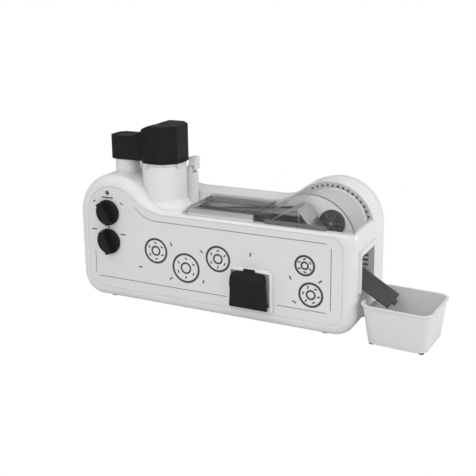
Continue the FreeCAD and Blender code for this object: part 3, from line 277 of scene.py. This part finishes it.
# Each ring has its place on the panel and its radius. Its sprinkles lie round it, turned this way and that.
rings = [(0.159, 0.091, 0.024), (0.226, 0.065, 0.028), (0.296, 0.093, 0.024), (0.472, 0.105, 0.018),
         (0.484, 0.051, 0.022)]
ring_half_width = 0.0022
hole_half_width = 0.0018
hole_share = 0.36
icing_share = 0.68
sprinkles_each = 6
sprinkle_half_length = 0.0030
sprinkle_half_width = 0.0014
turn_per_metre = 30
sprinkle_turn = 2.7
for x, z, radius in rings:
    strokes.append(printed_ring(x, z, radius, ring_half_width))
    strokes.append(printed_ring(x, z, radius * hole_share, hole_half_width))
    for step in range(sprinkles_each):
        turn = step * 2 * math.pi / sprinkles_each + x * turn_per_metre
        icing_x = x + radius * icing_share * math.cos(turn)
        icing_z = z + radius * icing_share * math.sin(turn)
        strokes.append(printed_dash(icing_x, icing_z, sprinkle_half_length, sprinkle_half_width,
                                    turn * sprinkle_turn))

loose_sprinkles = [(0.122, 0.053), (0.194, 0.109), (0.192, 0.039), (0.261, 0.103), (0.264, 0.043),
                   (0.332, 0.065), (0.444, 0.078), (0.502, 0.079), (0.452, 0.033), (0.364, 0.111)]
loose_half_length = 0.0040
loose_turn = 1.9
for index, (x, z) in enumerate(loose_sprinkles):
    strokes.append(printed_dash(x, z, loose_half_length, sprinkle_half_width, index * loose_turn))
ink = strokes[0]
for stroke in strokes[1:]:
    ink = ink.math("MAXIMUM", stroke)
# Surfaces set back into the grooves are painted darker: painted shade where the grooves fall in shadow.
groove_shade = spot_y.ramp(low[1] + groove_start, low[1] + groove_end, 1.0, groove_tone)
tone = wear(place, grain=0.12, low=0.70, high=0.73) * ink.ramp(0.0, 1.0, 1.0, ink_tone) * groove_shade
feed(surface, Base_Color=tone.grey(blue=0.995), Roughness=wear(place, grain=0.004, low=0.34, high=0.42),
     Normal=soft_edge(place, radius=0.0006))
paint(["front_panel"], panel_white)

# Indicator lens and lamp: dark tinted plastic above the upper knob, with a dotted back
# that spreads the light. The lens is pushed through the panel.
dots_per_metre = 600.0
dot_edge = (0.2, 0.5)
dot_tones = (0.16, 0.05)
tinted_lens, surface, place = finish_of("tinted_lens")
dots = place.node("ShaderNodeTexVoronoi", {"Vector": place, "Scale": dots_per_metre})
feed(surface, Base_Color=dots.ramp(*dot_edge, *dot_tones).grey(),
     Roughness=wear(place, grain=0.002, low=0.20, high=0.30))
paint(["indicator_lens", "indicator_lamp"], tinted_lens)

# Knobs, drain door, drain cap and drive cover: satin black moulded plastic with a fine grain.
# A thin parting seam runs round the low end of the drive cover; it is painted as a paler line, a painted
# highlight.


def band(value, low, high):
    """1 from low to high, and 0 outside."""
    return value.ramp(low - blur, low + blur) * value.ramp(high - blur, high + blur, 1.0, 0.0)


seam_lift = 0.0205
seam_width = 0.0008
seam_reach = 0.040
seam_fade = 0.010
seam_highlight_gain = 2.2
low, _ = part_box("drive_cover")
seam_low = low[2] + seam_lift
seam_end = low[0] + seam_reach
satin_black, surface, place = finish_of("satin_black")
spot_x, _, spot_z = parts_of(place)
# The seam is painted paler than the cover: a painted highlight along it.
seam_highlight = band(spot_z, seam_low, seam_low + seam_width) * spot_x.ramp(seam_end, seam_end + seam_fade, 1.0, 0.0)
tone = wear(place, grain=0.03, low=0.009, high=0.013) * seam_highlight.ramp(0.0, 1.0, 1.0, seam_highlight_gain)
feed(surface, Base_Color=tone.grey(), Roughness=wear(place, grain=0.002, low=0.36, high=0.46),
     Normal=grained(place, grain=0.0007, edge=0.0025))
surface.inputs["Specular IOR Level"].default_value = 0.15
paint(["upper_knob", "lower_knob", "drain_door", "drain_cap", "drive_cover"], satin_black)

# Splash rail: a grey moulded strip that stands along the front of the lane
# and keeps the oil off the sill.
rail_grey = mottled("rail_grey", mottle=0.02, tones=(0.12, 0.14), grain=0.003, roughness=(0.40, 0.52),
                    edge=0.0008)
paint(["splash_rail"], rail_grey)

# Exit slide: a matt dark grey plastic chute with a notched tip.
# It hooks into the exit frame and pulls out for washing.
dark_grey = mottled("dark_grey", mottle=0.02, tones=(0.040, 0.052), grain=0.003, roughness=(0.45, 0.58),
                    edge=0.0008)
paint(["donut_slide"], dark_grey)

# Wheel hood: clear moulded plastic, set loose on the case over the wheel.
# Its cut edges at the front and at the joint are painted as darker lines, as painted shade, and painted to
# mirror more, as painted reflection.
slant_power = 4.0
slant_gleam = 0.5
clear_tint = (0.985, 0.985, 0.985, 1.0)


def show(shader):
    """Makes a shader the one that its material shows."""
    shader.tree.links.new(shader.out, shader.tree.nodes["Material Output"].inputs["Surface"])


def clear_plastic(surface, place, edge, edge_tone, painted_reflection):
    """Polished plastic that mirrors a little, most of all at a slant. A painted reflection is added on top,
    and the edge darkens its tone as painted shade.
    """
    surface.inputs["Metallic"].default_value = 1.0
    # The edge mask darkens the mirror's tone: painted shade along cut edges and creases.
    tone = wear(place, grain=0.05, low=0.88, high=0.94) * edge.ramp(0.0, 1.0, 1.0, edge_tone)
    feed(surface, Base_Color=tone.grey(), Roughness=wear(place, grain=0.03, low=0.16, high=0.24))
    slant = place.node("ShaderNodeLayerWeight", {"Blend": 0.5}, out="Facing").math("POWER", slant_power)
    gleam = slant * slant_gleam + wear(place, grain=0.02, low=0.016, high=0.032) + painted_reflection
    clear = place.node("ShaderNodeBsdfTransparent", {"Color": clear_tint})
    mirror = Socket(place.tree, surface.outputs[0])
    show(place.node("ShaderNodeMixShader", {0: gleam, 1: clear, 2: mirror}))


wall = 0.002
edge_width = 0.0045
edge_reflection = 0.70
low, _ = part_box("wheel_hood")
left = low[0]
front = low[1]
clear_hood, surface, place = finish_of("clear_hood")
spot_x, spot_y, _ = parts_of(place)
# The hood's cut edges get painted shade and painted reflection.
edge = band(spot_y, front + 2 * blur, front + wall - 2 * blur)
edge = edge + band(spot_y, front + wall + 2 * blur, front + edge_width)
edge = edge.math("MAXIMUM", spot_x.ramp(left, left + wall, 1.0, 0.0))
clear_plastic(surface, place, edge, edge_tone=0.18, painted_reflection=edge * edge_reflection)
paint(["wheel_hood"], clear_hood)

# Fry cover: the same clear moulded plastic, raised over the lane.
# Its leaning walls and its foot catch more light than the flat top, as painted reflection, and its creases
# are painted darker, as painted shade.
end_lean = 0.018
end_blur = 0.001
front_lean = 0.004
front_blur = 0.0005
lean_reflection = 0.42
crease_reflection = 0.30
foot_height = 0.001
foot_reflection = 0.30
low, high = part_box("fry_cover")
end_top = low[0] + end_lean
front_top = low[1] + front_lean
foot_top = low[2] + foot_height
clear_lid, surface, place = finish_of("clear_lid")
spot_x, spot_y, spot_z = parts_of(place)
lean = spot_x.ramp(end_top - end_blur, end_top + end_blur, 1.0, 0.0)
lean = lean.math("MAXIMUM", spot_y.ramp(front_top - front_blur, front_top + front_blur, 1.0, 0.0))
end_crease = band(spot_x, end_top - 0.0015, end_top + 0.0005)
front_crease = band(spot_y, front_top - 0.0006, front_top + 0.0010)
rear_crease = band(spot_y, high[1] - wall, high[1] - 0.0001)
crease = end_crease.math("MAXIMUM", front_crease).math("MAXIMUM", rear_crease)
foot = spot_z.ramp(foot_top, foot_top + foot_height, 1.0, 0.0)
# Painted reflection on the leaning walls, foot and creases; the creases also get painted shade.
painted_reflection = lean * lean_reflection + crease * crease_reflection + foot * foot_reflection
clear_plastic(surface, place, crease, edge_tone=0.35, painted_reflection=painted_reflection)
paint(["fry_cover"], clear_lid)

# Collecting tray: thin moulded white plastic, a little greyer than the case, standing loose on the table.
# A faint moulded arch line runs over its front wall; it is not modelled but painted as a thin darker line,
# as painted shade.
arch_radius = 0.042
arch_half_width = 0.0006
arch_shade_tone = 0.86
front_depth = 0.010
front_fade = 0.002
low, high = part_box("collecting_tray")
front_end = low[1] + front_depth
tray_white, surface, place = finish_of("tray_white")
spot_x, spot_y, spot_z = parts_of(place)
off = (distance(spot_x - (low[0] + high[0]) / 2, spot_z) - arch_radius).math("ABSOLUTE")
# A thin darker line along the arch: painted shade standing for the moulded relief.
arch_shade = off.ramp(arch_half_width - blur, arch_half_width + 2 * blur, 1.0, 0.0)
arch_shade = arch_shade * spot_y.ramp(front_end, front_end + front_fade, 1.0, 0.0)
tone = wear(place, grain=0.07, low=0.66, high=0.70) * arch_shade.ramp(0.0, 1.0, 1.0, arch_shade_tone)
feed(surface, Base_Color=tone.grey(blue=0.99), Roughness=wear(place, grain=0.003, low=0.32, high=0.42),
     Normal=soft_edge(place, radius=0.0012))
paint(["collecting_tray"], tray_white)

# Floor: the flat table that everything stands on, plain and pale.
# The camera sees it as plain white, and it throws light back on the object.
bpy.ops.object.select_all(action="DESELECT")
bpy.ops.mesh.primitive_plane_add(size=12.0, location=(0.0, 0.0, 0.0))
floor = bpy.context.object
floor.name = "floor"
pale_floor, surface, place = finish_of("pale_floor")
surface.inputs["Base Color"].default_value = (0.8, 0.8, 0.8, 1.0)
surface.inputs["Roughness"].default_value = 0.9
seen = place.node("ShaderNodeLightPath", {}, out="Is Camera Ray")
white = place.node("ShaderNodeEmission", {"Color": (1.0, 1.0, 1.0, 1.0)})
show(place.node("ShaderNodeMixShader", {0: seen, 1: Socket(place.tree, surface.outputs[0]), 2: white}))
floor.data.materials.append(pale_floor)

# Light: a pale room that is dimmer behind the object, and three broad soft lamps.
# Each lamp has its place, its size in metres and its power in watts.
room_front = 0.80
room_back = 0.24
room_reach = 0.8
world = bpy.data.worlds.new("room")
bpy.context.scene.world = world
world.use_nodes = True
back = world.node_tree.nodes["Background"]
back.inputs["Color"].default_value = (1.0, 1.0, 1.0, 1.0)
sky = Socket(world.node_tree, world.node_tree.nodes.new("ShaderNodeTexCoord").outputs["Generated"])
seen = sky.node("ShaderNodeLightPath", {}, out="Is Camera Ray")
room = parts_of(sky)[1].ramp(-room_reach, room_reach, room_front, room_back)
feed(back, Strength=seen.math("MAXIMUM", room))
object_middle = mathutils.Vector((0.0, 0.0, 0.12))
lamps = [("overhead", (0.0, 0.1, 1.7), 1.6, 10.0),
         ("right", (1.5, 0.4, 0.7), 1.2, 11.0),
         ("front", (0.1, -1.6, 1.2), 1.6, 8.0)]
for name, spot, size, power in lamps:
    bpy.ops.object.light_add(type="AREA", location=spot)
    lamp = bpy.context.object
    lamp.name = name
    lamp.data.size = size
    lamp.data.energy = power
    lamp.rotation_euler = (object_middle - mathutils.Vector(spot)).to_track_quat("-Z", "Y").to_euler()

# Camera: to the right of the front and a little above, as in the photograph.
# The object stands above the picture's middle, which takes the shift.
camera_place = (0.6526, -1.4051, 0.6243)
pitch = math.radians(90.0 - 12.632)
yaw = math.radians(26.418)
roll = math.radians(-0.69)
bpy.ops.object.camera_add(location=camera_place)
camera = bpy.context.object
level = mathutils.Euler((pitch, 0.0, yaw)).to_matrix()
camera.rotation_euler = (level @ mathutils.Matrix.Rotation(roll, 3, "Z")).to_euler()
camera.data.sensor_width = 36.0
camera.data.lens = 62.746
camera.data.shift_y = -0.14
camera.data.clip_start = 0.05
bpy.context.scene.camera = camera
bpy.context.scene.view_settings.view_transform = "Standard"
